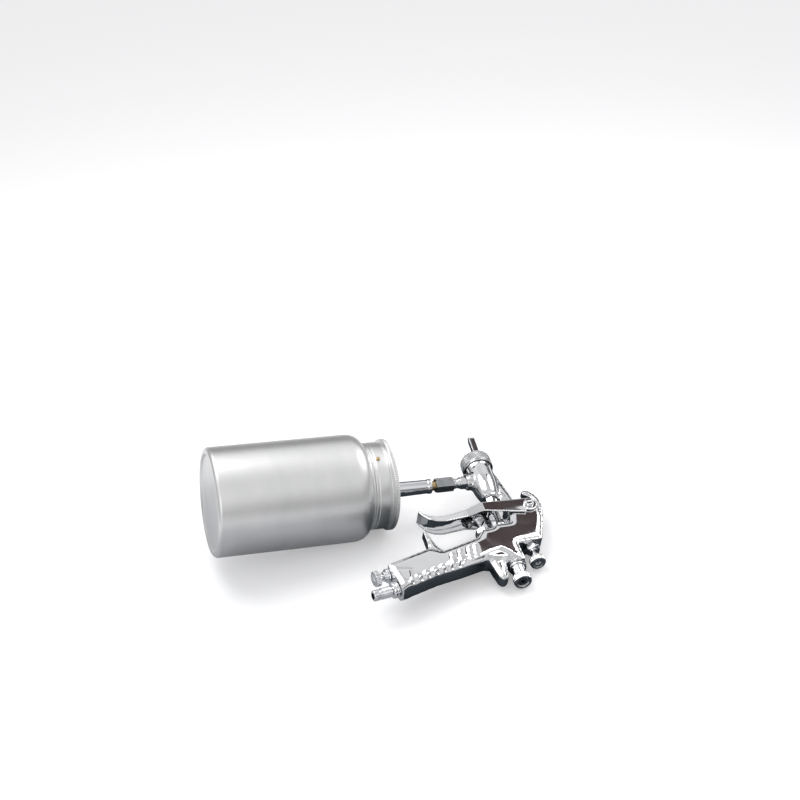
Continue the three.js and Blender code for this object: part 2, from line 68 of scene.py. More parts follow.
# ------------------------------------------------------------------ camera
# A long lens, a little above and behind the gun, on the side the screw heads are.
camera = bpy.data.objects.new("camera", bpy.data.cameras.new("camera"))
bpy.context.scene.collection.objects.link(camera)
camera.data.sensor_width, camera.data.lens = 36, 59.75
right, down, ahead = np.array([
    (0.95030, -0.28610, 0.12284), (-0.08073, -0.60746, -0.79024), (0.30070, 0.74104, -0.60036),
]) @ GUN_AXES
place = to_row((-195.4, -912.7, 843.2))
camera.matrix_world = Matrix([
    (right[i], -down[i], -ahead[i], place[i]) for i in range(3)] + [(0, 0, 0, 1)])
camera.data.clip_start, camera.data.clip_end = 0.05, 60
bpy.context.scene.camera = camera
bpy.context.scene.view_settings.view_transform = "Standard"

# ------------------------------------------------------------------ studio
# A pale floor, soft lamps, a bright ceiling and dark flags that only bright metal sees,
# so that plated parts show the light and dark bands that they show in a studio.


def shader(name):
    """A new node material, its Principled shader, and a function that adds a node to it."""
    material = bpy.data.materials.new(name)
    material.use_nodes = True
    tree = material.node_tree

    def add(kind, inputs=(), **settings):
        node = tree.nodes.new(kind)
        for key, value in settings.items():
            setattr(node, key, value)
        for socket, value in dict(inputs).items():
            if isinstance(value, bpy.types.NodeSocket):
                tree.links.new(value, node.inputs[socket])
            else:
                node.inputs[socket].default_value = value
        return node

    return material, tree.nodes["Principled BSDF"], add


def link(material, source, target):
    material.node_tree.links.new(source, target)


floor_mesh = bpy.data.meshes.new("floor")
floor_mesh.from_pydata([(-9, -9, 0), (9, -9, 0), (9, 9, 0), (-9, 9, 0)], [], [(0, 1, 2, 3)])
floor = bpy.data.objects.new("floor", floor_mesh)
bpy.context.scene.collection.objects.link(floor)
floor_paper, paper, add = shader("floor_paper")
paper.inputs["Base Color"].default_value = (0.86, 0.86, 0.87, 1)
paper.inputs["Roughness"].default_value = 0.9
glow = add("ShaderNodeLightPath")
lift = add("ShaderNodeMath", {0: glow.outputs["Is Camera Ray"], 1: 0.3}, operation="MULTIPLY")
link(floor_paper, lift.outputs[0], paper.inputs["Emission Strength"])
paper.inputs["Emission Color"].default_value = (1, 1, 1, 1)
floor.data.materials.append(floor_paper)

world = bpy.data.worlds.new("studio")
bpy.context.scene.world = world
world.use_nodes = True
sky = world.node_tree
direction = sky.nodes.new("ShaderNodeNewGeometry")
split = sky.nodes.new("ShaderNodeSeparateXYZ")
ceiling = sky.nodes.new("ShaderNodeValToRGB")
seen = sky.nodes.new("ShaderNodeLightPath")
mixed = sky.nodes.new("ShaderNodeMix")
mixed.data_type = "RGBA"
sky.links.new(direction.outputs["Incoming"], split.inputs[0])
height = sky.nodes.new("ShaderNodeMath")
height.operation = "MULTIPLY"
height.inputs[1].default_value = -1
sky.links.new(split.outputs["Z"], height.inputs[0])
sky.links.new(height.outputs[0], ceiling.inputs[0])
for place_at, grey in ((0.02, 0.14), (0.16, 0.20), (0.30, 0.6), (0.44, 1.0), (0.70, 1.1), (0.92, 0.7)):
    stop = ceiling.color_ramp.elements.new(place_at)
    stop.color = (grey, grey, grey * 1.01, 1)
sky.links.new(seen.outputs["Is Camera Ray"], mixed.inputs["Factor"])
sky.links.new(ceiling.outputs["Color"], mixed.inputs["A"])
mixed.inputs["B"].default_value = (1, 1, 1, 1)
sky.links.new(mixed.outputs["Result"], sky.nodes["Background"].inputs["Color"])
sky.nodes["Background"].inputs["Strength"].default_value = 0.72


def lamp(name, spot, aim, size, watts):
    """A soft square lamp at one gun point, aimed at another."""
    data = bpy.data.lights.new(name, "AREA")
    data.size, data.energy = size, watts
    light = bpy.data.objects.new(name, data)
    bpy.context.scene.collection.objects.link(light)
    start, end = to_row(spot), to_row(aim)
    back = (start - end) / np.linalg.norm(start - end)
    side = np.cross((0, 0, 1), back)
    side /= np.linalg.norm(side)
    over = np.cross(back, side)
    light.matrix_world = Matrix([
        (side[i], over[i], back[i], start[i]) for i in range(3)] + [(0, 0, 0, 1)])


lamp("key", (-300, 500, 900), (150, 0, 0), 0.7, 5)
lamp("fill", (-500, -900, 500), (150, 0, 0), 0.8, 1.6)
lamp("rim", (800, 300, 700), (250, 0, 0), 0.5, 2)


def flag(name, corners, colour):
    """A dark card at four corners of the row frame, which only reflections see."""
    mesh = bpy.data.meshes.new(name)
    mesh.from_pydata(corners, [], [(0, 1, 2, 3)])
    card = bpy.data.objects.new(name, mesh)
    bpy.context.scene.collection.objects.link(card)
    card.visible_camera = card.visible_diffuse = card.visible_shadow = False
    cloth, surface, _ = shader(name)
    surface.inputs["Base Color"].default_value = colour + (1,)
    surface.inputs["Roughness"].default_value = 1
    card.data.materials.append(cloth)


flag("flag_over", to_row([(572, 470, 700), (800, 430, 700), (820, 690, 720), (600, 672, 700)]),
     (0.085, 0.06, 0.06))
flag("flag_gun", [(0.0, -0.2, 0.001), (0.24, -0.2, 0.001), (0.24, 0.2, 0.001), (0.0, 0.2, 0.001)],
     (0.035, 0.045, 0.055))
flag("flag_cup", [(-0.26, -0.2, 0.001), (0.0, -0.2, 0.001), (0.0, 0.2, 0.001), (-0.26, 0.2, 0.001)],
     (0.4, 0.41, 0.43))
flag("flag_front", to_row([(-300, 900, 60), (1200, 900, 60), (1200, 900, 430), (-300, 900, 380)]),
     (0.012, 0.011, 0.012))

# ------------------------------------------------------------------ cup
# One-litre cup, drawn and spun from aluminium sheet, with a rolled foot, a rounded
# shoulder and a beaded neck. The lathe leaves fine rings round it.


def rounded(corners, steps=5):
    """A profile of (radius, distance, fillet) corners with each corner swept into a curve
    that starts and ends its fillet's length away: a quadratic between the two points."""
    corners = [tuple(c) + (0,) * (3 - len(c)) for c in corners]
    points = []
    for i, (r, t, fillet) in enumerate(corners):
        here = np.array((r, t), float)
        if fillet and 0 < i < len(corners) - 1:
            before = np.array(corners[i - 1][:2]) - here
            after = np.array(corners[i + 1][:2]) - here
            reach = min(fillet, 0.48 * np.linalg.norm(before), 0.48 * np.linalg.norm(after))
            a = here + before / np.linalg.norm(before) * reach
            b = here + after / np.linalg.norm(after) * reach
            s = np.linspace(0, 1, steps)[:, None]
            points.extend(a * (1 - s) ** 2 + 2 * here * s * (1 - s) + b * s ** 2)
        else:
            points.append(here)
    return np.array(points)


def square_to(axis):
    """Two unit directions square to an axis: left, and the third that completes them."""
    axis = np.array(axis, float)
    side = np.array((0.0, 0, 1)) if abs(axis[2]) < 0.9 else np.array((0.0, 1, 0))
    side -= axis * side.dot(axis)
    side /= np.linalg.norm(side)
    return side, np.cross(axis, side)


def turned(profile, start, axis, around=96, ripple=None, ring=False):
    """A surface of revolution: the profile's (radius, distance) carried round an axis.
    ripple(angle, distance, radius) adds to the radius, for knurls and flats."""
    axis = np.array(axis, float) / np.linalg.norm(axis)
    side, other = square_to(axis)
    angle = np.linspace(0, 2 * np.pi, around, endpoint=False)[None, :]
    radius = np.repeat(profile[:, :1], around, 1)
    distance = np.repeat(profile[:, 1:2], around, 1)
    if ripple is not None:
        radius = radius + ripple(angle, distance, radius)
    points = (np.array(start, float) + distance[..., None] * axis
              + radius[..., None] * (np.cos(angle)[..., None] * side + np.sin(angle)[..., None] * other))
    step = np.linalg.norm(np.diff(profile, axis=0), axis=1)
    length = np.repeat(np.concatenate([[0], np.cumsum(step)])[:, None], around, 1)
    spun = np.stack([np.cos(angle) * np.ones_like(radius), np.sin(angle) * np.ones_like(radius),
                     length], -1)
    rows, index = len(profile), np.arange(len(profile) * around).reshape(len(profile), around)
    for row in (0, rows - 1):
        if profile[row, 0] < 1e-6:
            index[row] = index[row, 0]
    lower = index if ring else index[:-1]
    upper = np.roll(index, -1, 0) if ring else index[1:]
    a, b = lower, np.roll(lower, -1, 1)
    c, d = np.roll(upper, -1, 1), upper
    quads = np.stack([a, d, c, b], -1).reshape(-1, 4)
    return points.reshape(-1, 3), quads, spun.reshape(-1, 3)


def piece(name, shells, material, body, *nodes, slot=None, sharp=35):
    """One object from closed shells of (points, quads, spun): joined, closed at the poles,
    smooth where the surface is and sharp at its edges."""
    points = np.concatenate([s[0] for s in shells])
    spun = np.concatenate([s[2] for s in shells])
    offsets = np.cumsum([0] + [len(s[0]) for s in shells[:-1]])
    quads = np.concatenate([s[1] + o for s, o in zip(shells, offsets)])
    used, quads = np.unique(quads, return_inverse=True)
    quads = quads.reshape(-1, 4)
    points, spun = to_row(points[used]), spun[used]
    flat = (quads == np.roll(quads, 1, 1)).any(1)
    faces = quads[~flat].tolist() + [list(dict.fromkeys(q)) for q in quads[flat].tolist()]
    mesh = bpy.data.meshes.new(name)
    mesh.from_pydata(points, [], [f for f in faces if len(f) > 2])
    marks = mesh.attributes.new("spun", "FLOAT_VECTOR", "POINT")
    marks.data.foreach_set("vector", spun.astype(np.float32).ravel())
    return finished(name, mesh, material, body, *nodes, slot=slot, sharp=sharp)


def finished(name, mesh, material, body, *nodes, slot=None, sharp=35):
    """Puts a finished mesh in the scene, on its body, in place of its nodes."""
    mesh.validate()
    mesh.shade_smooth()
    mesh.set_sharp_from_angle(angle=math.radians(sharp))
    made = bpy.data.objects.new(name, mesh)
    bpy.context.scene.collection.objects.link(made)
    made.data.materials.append(material)
    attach(made, body)
    if nodes:
        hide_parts(*nodes)
    return made


spun_aluminium, face, add = shader("spun_aluminium")
marks = add("ShaderNodeAttribute", attribute_name="spun")
rings = add("ShaderNodeVectorMath", {0: marks.outputs["Vector"], 1: (1.1, 1.1, 2.6)},
            operation="MULTIPLY")
fine = add("ShaderNodeTexNoise", {"Vector": rings.outputs[0], "Scale": 1.0, "Detail": 4,
                                  "Roughness": 0.7})
slow = add("ShaderNodeVectorMath", {0: marks.outputs["Vector"], 1: (0.7, 0.7, 0.035)},
           operation="MULTIPLY")
cloud = add("ShaderNodeTexNoise", {"Vector": slow.outputs[0], "Scale": 1.6, "Detail": 3})
tone = add("ShaderNodeValToRGB", {0: cloud.outputs[0]})
tone.color_ramp.elements[0].position, tone.color_ramp.elements[1].position = 0.3, 0.75
tone.color_ramp.elements[0].color = (0.83, 0.835, 0.83, 1)
tone.color_ramp.elements[1].color = (0.90, 0.90, 0.895, 1)
streak = add("ShaderNodeMix", {"Factor": 0.12, "A": tone.outputs[0], "B": fine.outputs[0]},
             data_type="RGBA", blend_type="OVERLAY")
dull = add("ShaderNodeMapRange", {0: fine.outputs[0], 1: 0.3, 2: 0.7, 3: 0.36, 4: 0.46})
relief = add("ShaderNodeBump", {"Strength": 0.12, "Distance": 0.00012, "Height": fine.outputs[0]})
link(spun_aluminium, streak.outputs["Result"], face.inputs["Base Color"])
link(spun_aluminium, dull.outputs[0], face.inputs["Roughness"])
link(spun_aluminium, relief.outputs[0], face.inputs["Normal"])
face.inputs["Metallic"].default_value = 1

START, AXIS = (0, 0, 0), (1, 0, 0)
cup_profile = rounded([
    (0, 2), (44.2, 2, 1.2), (46.2, 0, 1), (49.6, 0, 2), (52, 2.4, 2.6), (52, 132), (52, 137.5, 6),
    (50.4, 143.4, 6), (46.6, 148, 2.4), (42.9, 149.2, 0.6), (42.6, 150.3, 0.5), (42.9, 151.5, 0.6),
    (41.4, 151.8, 0.5), (39.9, 152, 0.4), (39.9, 163.9, 0.7), (38.2, 163.9, 0.7), (38.2, 149.6, 2),
    (44.6, 146.4, 5), (49, 142, 6), (50.5, 136, 5), (50.5, 5.4, 2), (48.8, 3.6, 1.5), (0, 3.6)], 7)
piece("cup_shell", [turned(cup_profile, START, AXIS, 224)], spun_aluminium, "cup_body", "cup",
      slot="satin_aluminium")

# ------------------------------------------------------------------ lid and collar
# The lid is clamped by a screwed aluminium collar with a beaded skirt, a groove and a
# flange whose rim is milled with fine teeth. A brass plug sits in the skirt.


def teeth(count, depth, start, end, sharpness=1.0):
    """A ripple of rounded teeth between two distances: depth times a raised cosine, eased
    in and out over 0.6 mm at each end."""
    def wave(angle, distance, radius):
        ease = np.clip((distance - start) / 0.6, 0, 1) * np.clip((end - distance) / 0.6, 0, 1)
        return -depth * ease * (0.5 - 0.5 * np.cos(count * angle)) ** sharpness
    return wave


collar_profile = rounded([
    (40.7, 152), (41.6, 152, 0.5), (42.3, 152.6, 0.5), (42.3, 154.4, 0.3), (41.9, 154.8, 0.3),
    (41.9, 155.6, 0.3), (42.3, 156, 0.3), (42.3, 166.4, 0.8), (41.2, 167.2, 0.6), (41.2, 168.6, 0.6),
    (42.8, 169.2, 0.5), (44.4, 169.8, 0.7), (44.4, 170.6), (44.4, 172), (44.4, 173.6), (44.4, 174.4, 0.6),
    (42, 174.4, 0.4), (34, 174.4, 0.5), (34, 170.8, 0.4), (40.7, 170.8, 0.3)], 5)
piece("collar_ring", [turned(collar_profile, START, AXIS, 528, teeth(132, 0.55, 170, 174.2), True)],
      spun_aluminium, "lid_collar_body", "lid_collar", slot="satin_aluminium")

lid_profile = rounded([
    (0, 166), (40.3, 166, 0.6), (40.3, 170.4, 0.4), (33.6, 170.4, 0.4), (33.6, 173.5, 0.9),
    (26, 173.5, 0.8), (24.8, 172.9, 0.8), (20, 172.9, 0.8), (18.8, 173.5, 0.8), (0, 173.5)])
piece("lid_disc", [turned(lid_profile, START, AXIS, 160)], spun_aluminium, "lid_body", "lid",
      slot="satin_aluminium")


def bare_metal(name, colour, low, high, grain=90.0, worn=0.0, bump=0.05, wave=0.0):
    """A metal with a base colour, a roughness that drifts between two values in soft
    smudges, a faint grain, and for hand-polished pieces a slow wave."""
    material, surface, add = shader(name)
    where = add("ShaderNodeTexCoord")
    smudge = add("ShaderNodeTexNoise", {"Vector": where.outputs["Object"], "Scale": grain,
                                        "Detail": 5, "Roughness": 0.6})
    rough = add("ShaderNodeMapRange", {0: smudge.outputs[0], 1: 0.35, 2: 0.7, 3: low, 4: high})
    shade = add("ShaderNodeValToRGB", {0: smudge.outputs[0]})
    shade.color_ramp.elements[0].position, shade.color_ramp.elements[1].position = 0.32, 0.68
    shade.color_ramp.elements[0].color = tuple(c * (1 - worn) for c in colour) + (1,)
    shade.color_ramp.elements[1].color = tuple(colour) + (1,)
    speck = add("ShaderNodeTexNoise", {"Vector": where.outputs["Object"], "Scale": grain * 22,
                                       "Detail": 2})
    relief = add("ShaderNodeBump", {"Strength": bump, "Distance": 0.00006,
                                    "Height": speck.outputs[0]})
    if wave:
        swell = add("ShaderNodeTexNoise", {"Vector": where.outputs["Object"], "Scale": 38.0,
                                           "Detail": 1})
        relief = add("ShaderNodeBump", {"Strength": 1.0, "Distance": wave,
                                        "Height": swell.outputs[0]})
    link(material, shade.outputs[0], surface.inputs["Base Color"])
    link(material, rough.outputs[0], surface.inputs["Roughness"])
    link(material, relief.outputs[0], surface.inputs["Normal"])
    surface.inputs["Metallic"].default_value = 1
    return material


brass = bare_metal("brass", (0.62, 0.47, 0.24), 0.22, 0.38, worn=0.18)
PLUG_OUT = (0, -math.sin(math.radians(12)), math.cos(math.radians(12)))
plug_profile = rounded([(0, 42.5), (1.9, 42.5), (1.9, 43.4, 0.3), (1.3, 43.8, 0.4), (0, 43.8)])
piece("vent_brass", [turned(plug_profile, (158.5, 0, 0), PLUG_OUT, 40)], brass,
      "lid_collar_body", "vent_plug", slot="brass")

# ------------------------------------------------------------------ fluid line
# A tapered chromed tube out of the lid, a brass ferrule, a grey zinc-plated swivel nut,
# and the chromed inlet fitting with its small hexagon.
chrome = bare_metal("chrome_plate", (0.87, 0.88, 0.9), 0.035, 0.11, grain=40, bump=0.012)
nickel = bare_metal("satin_nickel", (0.70, 0.71, 0.72), 0.2, 0.32, worn=0.1)
zinc = bare_metal("grey_zinc", (0.46, 0.475, 0.485), 0.24, 0.38, worn=0.25, bump=0.15)
LINE = (0, -9.5, 0)

tube_profile = rounded([
    (3.6, 173.8), (6.6, 173.8, 0.3), (7.8, 174.6, 0.8), (7.8, 176.4, 0.4), (7.5, 177, 0.4),
    (6.8, 212.6, 0.3), (7.3, 213.4, 0.5), (7.3, 216.4, 0.5), (6.8, 217, 0.4), (3.6, 217)])
piece("outlet_chrome", [turned(tube_profile, LINE, AXIS, 96, ring=True)], chrome, "lid_body",
      "outlet_tube", slot="chrome")
ferrule_profile = rounded([(3.4, 217.3), (4.1, 217.3, 0.3), (4.6, 217.8, 0.3), (4.6, 228.2, 0.3),
                           (3.4, 228.2)])
piece("ferrule_brass", [turned(ferrule_profile, LINE, AXIS, 64, ring=True)], brass, "lid_body",
      "ferrule", slot="brass")


def hexagonal(across_corners, start, end, bore, chamfer=0.8):
    """A hexagon bar from start to end with its corners turned off: the radius is the
    smaller of the flat-sided outline and a cone that shrinks towards both ends."""
    inradius = across_corners / 2 * math.cos(math.pi / 6)
    profile = rounded([(bore, start), (inradius - 0.4, start), (across_corners / 2, start),
                       (across_corners / 2, start + 0.4), (across_corners / 2, start + 1.2),
                       (across_corners / 2, end - 1.2), (across_corners / 2, end - 0.4),
                       (across_corners / 2, end), (inradius - 0.4, end), (bore, end)])

    def flats(angle, distance, radius):
        near = angle % (math.pi / 3) - math.pi / 6
        outline = inradius / np.cos(near)
        edge = np.minimum(distance - start, end - distance)
        cone = across_corners / 2 - chamfer + edge * 1.9
        return np.where(radius > inradius, np.minimum(np.minimum(outline, cone), radius) - radius, 0)
    return profile, flats


def hexagon(across_corners, start, end, bore, origin, axis, chamfer=0.8):
    profile, flats = hexagonal(across_corners, start, end, bore, chamfer)
    return turned(profile, origin, axis, 192, flats, True)


piece("swivel_zinc", [hexagon(15, 221.6, 239.8, 5.45, LINE, AXIS, 0.9)], zinc,
      "swivel_nut_body", "swivel_nut", slot="grey_zinc", sharp=24)
neck_profile = rounded([(2.2, 228.6), (3.4, 228.6), (3.4, 240, 0.3), (4.9, 240.3, 0.5),
                        (5.1, 243, 0.5), (4.4, 243.6, 0.4), (4.4, 244.6, 0.4), (5.2, 245.2, 0.4),
                        (5.2, 247), (2.2, 247)])
boss_profile = rounded([(2.2, 252.2), (5.6, 252.2), (5.6, 262.3), (2.2, 262.3)])
piece("inlet_chrome", [turned(neck_profile, LINE, AXIS, 72, ring=True),
                       hexagon(13.2, 247.05, 252.15, 2.2, LINE, AXIS, 0.7),
                       turned(boss_profile, LINE, AXIS, 48, ring=True)], chrome, "gun",
      "fluid_inlet", slot="chrome", sharp=24)

# ------------------------------------------------------------------ casting
# The body is one aluminium forging: head, web, hook, rear block, handle and hand rest.
# It is ground, polished and chromed, so every edge is softly rounded over.


def polished(node, voxel, passes, carve=None):
    """A copy of a node's solid resampled on an even grid and relaxed: each point moves part
    way to its neighbours' mean and part way back, which rounds edges and keeps the size."""
    copy = frame["nodes"][node].data.copy()
    made = bpy.data.objects.new(node + "_copy", copy)
    bpy.context.scene.collection.objects.link(made)
    weld = made.modifiers.new("weld", "WELD")
    weld.merge_threshold = 0.00001
    grid = made.modifiers.new("grid", "REMESH")
    grid.mode, grid.voxel_size = "VOXEL", voxel
    depsgraph = bpy.context.evaluated_depsgraph_get()
    mesh = bpy.data.meshes.new_from_object(made.evaluated_get(depsgraph))
    bpy.data.objects.remove(made)
    count = len(mesh.vertices)
    points = np.zeros(count * 3)
    mesh.vertices.foreach_get("co", points)
    points = points.reshape(-1, 3)
    ends = np.zeros(len(mesh.edges) * 2, int)
    mesh.edges.foreach_get("vertices", ends)
    ends = ends.reshape(-1, 2)
    first, second = np.concatenate([ends[:, 0], ends[:, 1]]), np.concatenate([ends[:, 1], ends[:, 0]])
    valence = np.maximum(np.bincount(first, minlength=count), 1)[:, None]

    def mean(values):
        return np.stack([np.bincount(first, values[second, k], count) for k in range(3)], 1) / valence
    for _ in range(passes):
        points += 0.6 * (mean(points) - points)
        points -= 0.5 * (mean(points) - points) * 0.62
    if carve is not None:
        mesh.vertices.foreach_set("co", points.ravel())
        mesh.update()
        normals = np.zeros(count * 3)
        mesh.vertices.foreach_get("normal", normals)
        normals = normals.reshape(-1, 3)
        points += normals * carve(to_gun(points), normals @ GUN_AXES.T)[:, None] / 1000
        for _ in range(5):
            points += 0.5 * (mean(points) - points)
    mesh.vertices.foreach_set("co", points.ravel())
    mesh.update()
    mesh.materials.clear()
    return mesh


def handle_relief(points, facing):
    """How far the flat sides sink, in millimetres: a crown that falls away to the edges, a
    shallow square outline low on the handle, slanting grooves that carry the grip's teeth
    on to the sides, and four flutes half way up."""
    along, fore, left = points.T
    side = np.abs(facing[:, 2]) > 0.7
    lean = math.radians(-10)
    a = (along - 150.4) * math.cos(lean) + (fore + 131.7) * math.sin(lean)
    b = -(along - 150.4) * math.sin(lean) + (fore + 131.7) * math.cos(lean)
    outline = np.maximum(np.abs(a) - 7.6, np.abs(b) - 7.0)
    sunk = 0.55 * np.exp(-(outline / 0.6) ** 2)
    tilt = math.radians(16.5)
    u = (along - 145) * math.cos(tilt) + (fore + 130) * math.sin(tilt)
    v = -(along - 145) * math.sin(tilt) + (fore + 130) * math.cos(tilt)
    for at in 8.2 + 8.75 * np.arange(7):
        across = u - at - 1.4 * (v + 15.2)
        sunk += 0.9 * np.exp(-(across / 1.3) ** 2) / (1 + np.exp(3 * (v + 9)))
    for at in (57, 66, 76, 83):
        across = u - at - 0.5 * (v + 7)
        sunk += 0.9 * np.exp(-(across / 1.7) ** 2) / (1 + np.exp(3 * (np.abs(v + 7) - 6.5)))
    wall = np.flatnonzero(np.abs(facing[:, 2]) < 0.3)
    tree = KDTree(len(wall))
    for k in wall:
        tree.insert(points[k], int(k))
    tree.balance()
    edge = np.full(len(points), 9.0)
    for k in np.flatnonzero(side):
        edge[k] = tree.find(points[k])[2]
    sunk += 2.4 * (1 - np.minimum(edge, 6.5) / 6.5) ** 2
    return np.where(side, -sunk, 0)


mirror_chrome = bare_metal("mirror_chrome", (0.86, 0.865, 0.875), 0.03, 0.08, grain=26, wave=0.0005)
finished("casting", polished("gun_body", 0.00076, 12, handle_relief), mirror_chrome, "gun", "gun_body",
         slot="body_chrome", sharp=80)

# ------------------------------------------------------------------ trigger
# Folded from chromed sheet into a channel that straddles the web, with a curled tip. It
# hangs on a slotted screw, held by a thin nut on the far side.
finished("trigger_sheet", polished("trigger", 0.00042, 6), mirror_chrome, "trigger_body", "trigger",
         slot="chrome", sharp=80)
PIVOT = (298, -62, 0)
finished("pivot_slotted", polished("pivot_screw", 0.00022, 3), chrome, "gun", "pivot_screw",
         slot="chrome", sharp=60)
nut_profile = rounded([(2.8, -15.8), (4.2, -15.8, 0.4), (4.8, -15.2, 0.4), (4.8, -13.5, 0.2),
                       (2.8, -13.5)])
piece("pivot_ring", [turned(nut_profile, PIVOT, (0, 0, 1), 64, ring=True)], chrome, "gun",
      "pivot_nut", slot="chrome")

# ------------------------------------------------------------------ head
# Spray head: a chromed air cap with two horns, held by a ribbed satin nickel ring with a
# bright bead at its rear edge. Nozzle, needle and packing sit inside.
TILT = math.radians(4)
AHEAD = np.array((math.sin(TILT), math.cos(TILT), 0))
UP = np.array((math.cos(TILT), -math.sin(TILT), 0))
NEEDLE = np.array((272.0, 0, 0))
ring_profile = rounded([
    (14.2, 5.6), (14.9, 5.6, 0.3), (15.35, 6.2, 0.4), (15.35, 7.4, 0.4), (14.9, 8, 0.3),
    (15.2, 8.5, 0.3), (15.5, 9, 0.3), (15.5, 12), (15.5, 15), (15.5, 17.6, 0.3), (15.2, 18.2, 0.4),
    (15.2, 18.8, 0.4), (14.4, 19.8, 0.5), (13.6, 20, 0.3), (11.6, 20, 0.3), (11.6, 17, 0.2),
    (14.2, 17, 0.2)])
piece("ring_ribbed", [turned(ring_profile, NEEDLE, AHEAD, 432, teeth(72, 0.32, 8.6, 18), True)],
      nickel, "retaining_ring_body", "retaining_ring", slot="steel", sharp=40)
finished("cap_horned", polished("air_cap", 0.00034, 4), chrome, "air_cap_body", "air_cap",
         slot="chrome", sharp=70)
packing_hex = hexagon(11.6, 38.3, 45.4, 1.6, NEEDLE, -AHEAD, 0.7)
packing_thread = turned(rounded([(1.6, 34.9), (4, 34.9), (4, 38.25), (1.6, 38.25)]), NEEDLE, -AHEAD,
                        48, ring=True)
piece("packing_hex", [packing_hex, packing_thread], chrome, "gun", "packing_nut", slot="chrome",
      sharp=24)

# ------------------------------------------------------------------ needle and knob
# The needle runs back from the nozzle through a sleeve that the trigger pushes, into a
# flanged housing with a knurled, dished knob screwed over it.
BACK = -AHEAD
sleeve_profile = rounded([(1.55, 56.9), (2.6, 56.9, 0.3), (3, 57.3, 0.3), (3, 91), (5.6, 91, 0.3),
                          (5.6, 94.6), (1.55, 94.6)])
piece("collet_sleeve", [turned(sleeve_profile, NEEDLE, BACK, 64, ring=True)], nickel, "needle_body",
      "needle_collet", slot="steel")
guide_profile = rounded([
    (3.4, 74.6), (5.4, 74.6, 0.4), (6.2, 75.4, 0.5), (6.2, 77.6, 0.3), (5.7, 78, 0.3), (5.7, 78.6, 0.3),
    (6.2, 79, 0.3), (6.2, 81), (5.1, 81), (5.1, 88), (3.4, 88)])
piece("guide_bush", [turned(guide_profile, NEEDLE, BACK, 72, ring=True)], chrome, "gun",
      "needle_guide", slot="chrome")
housing_profile = rounded([
    (5.3, 116), (6.2, 116), (6.2, 130.3), (7.8, 130.3, 0.4), (8.4, 130.9, 0.5), (8.4, 132.4, 0.5),
    (7.8, 133, 0.4), (6.9, 133.2, 0.4), (6.6, 134.4, 0.6), (6.6, 141.6, 0.4), (5.3, 141.6)])
piece("housing_flanged", [turned(housing_profile, NEEDLE, BACK, 96, ring=True)], chrome, "gun",
      "needle_housing", slot="chrome")
fluid_knob_profile = rounded([
    (5.3, 142), (7.2, 142, 0.4), (7.5, 142.8, 0.4), (8.2, 143.3, 0.4), (8.4, 144, 0.3), (8.4, 146),
    (8.4, 148), (8.4, 149.6, 0.4), (7.6, 150.4, 0.6), (6.6, 150.2, 0.5), (5.4, 149.2, 0.4)])
piece("knob_fluid", [turned(fluid_knob_profile, NEEDLE, BACK, 336, teeth(28, 0.5, 143.4, 150, 0.8), True)],
      chrome, "fluid_knob_body", "fluid_knob", slot="chrome", sharp=50)

# ------------------------------------------------------------------ spreader valve
# A needle valve that sets the fan: a hexagon gland, a plain stem and a small knurled knob.
SPREADER = NEEDLE + 21.6 * UP
gland_thread = turned(rounded([(2.3, 97), (5.1, 97), (5.1, 106.05), (2.3, 106.05)]), SPREADER, BACK,
                      48, ring=True)
gland_hex = hexagon(14, 106.1, 112.2, 2.3, SPREADER, BACK, 0.8)
gland_lip = turned(rounded([(2.3, 112.25), (4.6, 112.25, 0.3), (4.6, 113.4, 0.4), (2.3, 113.4)]),
                   SPREADER, BACK, 64, ring=True)
piece("gland_spreader", [gland_thread, gland_hex, gland_lip], chrome, "gun", "spreader_gland",
      slot="chrome", sharp=24)
stem_profile = rounded([(0, 82), (2, 86, 0.6), (2, 115, 0.2), (2, 126), (0, 126)])
piece("stem_spreader", [turned(stem_profile, SPREADER, BACK, 40)], nickel, "spreader_knob_body",
      "spreader_stem", slot="steel")
spreader_knob_profile = rounded([
    (2.3, 117.4), (3.6, 117.4, 0.4), (4.2, 118, 0.4), (4.2, 120.8, 0.5), (6.8, 121.6, 0.5),
    (7.6, 122.4, 0.5), (7.6, 124), (7.6, 126), (7.6, 127.4, 0.5), (6.8, 128, 0.5), (5.6, 128, 0.4),
    (4.8, 127.2, 0.4), (2.6, 127, 0.2), (2.3, 126.6, 0.1)])
piece("knob_spreader", [turned(spreader_knob_profile, SPREADER, BACK, 288,
                               teeth(24, 0.5, 121.8, 127.8, 0.8), True)],
      chrome, "spreader_knob_body", "spreader_knob", slot="chrome", sharp=50)

# ------------------------------------------------------------------ air valve
# The trigger's inner face pushes this bell-headed stem into a hexagon valve body screwed
# into the front of the handle.
VALVE = NEEDLE - 20 * UP
bell_profile = rounded([
    (0, 57.7), (1.2, 57.8, 0.5), (2.2, 58.2, 0.5), (3.2, 59.2, 0.6), (4.1, 61.4, 1.2), (6.1, 63.8, 1.4), (6.5, 66.6, 1.2),
    (5.9, 68.6, 0.9), (3, 70.6, 0.8), (1.75, 72, 0.5), (1.75, 103), (0, 103)])
piece("bell_stem", [turned(bell_profile, VALVE, BACK, 80)], nickel, "air_valve_moving",
      "air_valve_stem", slot="steel")
valve_hex = hexagon(15.4, 81.6, 87.3, 2.1, VALVE, BACK, 0.9)
valve_lip = turned(rounded([(2.1, 81), (5.6, 81, 0.3), (5.6, 81.55), (2.1, 81.55)]), VALVE, BACK, 64,
                   ring=True)
valve_thread = turned(rounded([(2.1, 87.35), (6.1, 87.35), (6.1, 97.6), (2.1, 97.6)]), VALVE, BACK,
                      48, ring=True)
piece("valve_hex", [valve_hex, valve_lip, valve_thread], chrome, "gun", "air_valve_body",
      slot="chrome", sharp=24)

